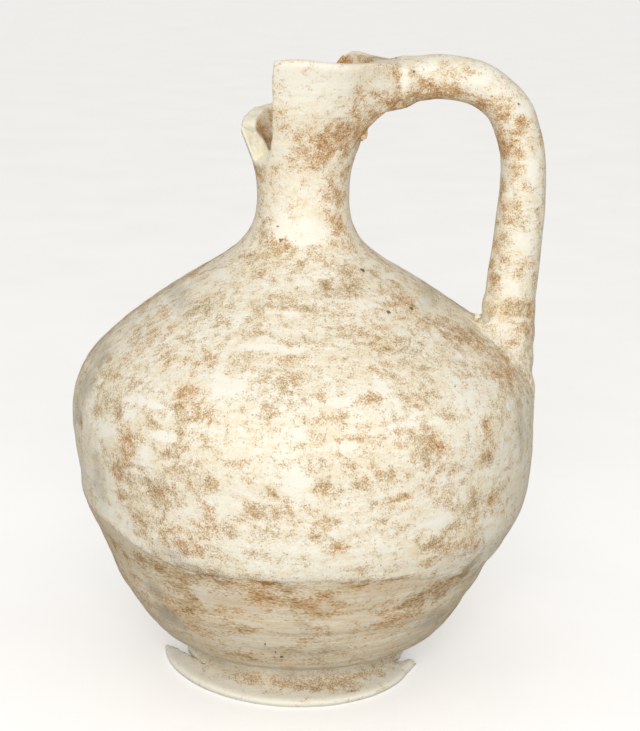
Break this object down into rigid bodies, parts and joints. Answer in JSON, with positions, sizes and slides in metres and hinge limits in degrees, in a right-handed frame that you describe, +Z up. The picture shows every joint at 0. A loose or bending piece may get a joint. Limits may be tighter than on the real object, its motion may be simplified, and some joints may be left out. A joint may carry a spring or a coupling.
{
  "type": "wine jug",
  "caption": "Wheel-thrown earthenware jug on a flaring foot: squat round belly, narrow neck, flared mouth with its spout side broken away, and a thick round handle.",
  "frame": {"origin": "middle of the jug's footprint, on the surface that it stands on", "axes": "+Z up through the mouth, +X towards the handle"},
  "size_m": [0.1809, 0.1794, 0.239],
  "materials": {
    "cream_slip": "matt cream slip over tan clay, mottled with rusty brown earth stains",
    "stained_slip": "thin matt slip, wheel-lined, darker and greyer towards the foot",
    "luting_clay": "rough smeared clay with rusty stains in its hollows"
  },
  "bodies": {
    "root": {"foot_ring": "cream_slip", "base_bowl": "stained_slip", "belly": "cream_slip", "shoulder": "cream_slip", "neck": "cream_slip", "mouth": "cream_slip", "handle": "cream_slip", "handle_top_wad": "luting_clay", "handle_root_pad": "luting_clay"}
  },
  "joints": []
}
